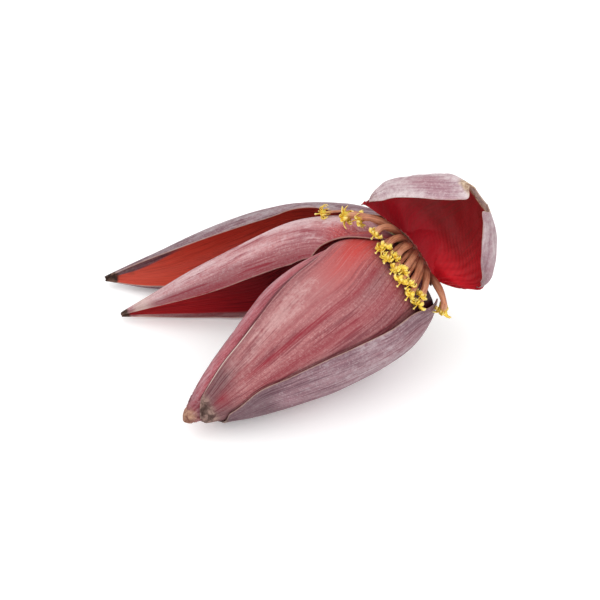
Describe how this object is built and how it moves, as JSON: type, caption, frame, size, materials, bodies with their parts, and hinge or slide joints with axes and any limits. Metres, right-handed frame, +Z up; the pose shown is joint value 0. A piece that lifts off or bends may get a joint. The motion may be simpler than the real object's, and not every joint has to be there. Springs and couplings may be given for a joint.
{
  "type": "banana blossom",
  "caption": "Cut banana blossom lying on its side: a closed purple bud with bracts lifted and bent back over hands of small tubular flowers.",
  "frame": {"origin": "middle of the whole blossom's bounding box, on the surface that it lies on", "axes": "+Z up, -Y toward the side that the opened bracts and flowers face, -X toward the bracts' points, +X toward the cut stalk"},
  "size_m": [0.2943, 0.2264, 0.163],
  "materials": {
    "stalk": "matt, fibrous",
    "inner_bud": "satin, leathery",
    "bract_pink": "satin with a waxy bloom",
    "bract_purple": "matt waxy bloom",
    "bract_hood": "matt waxy bloom outside, satin inside",
    "flowers": "satin"
  },
  "bodies": {
    "root": {"stalk": "stalk", "inner_bud": "inner_bud", "bract_top": "bract_pink", "bract_right": "bract_purple", "bract_side_near": "bract_pink", "bract_side_far": "bract_purple", "bract_hood": "bract_hood", "flowers_hood": "flowers", "flowers_far": "flowers"}
  },
  "joints": []
}
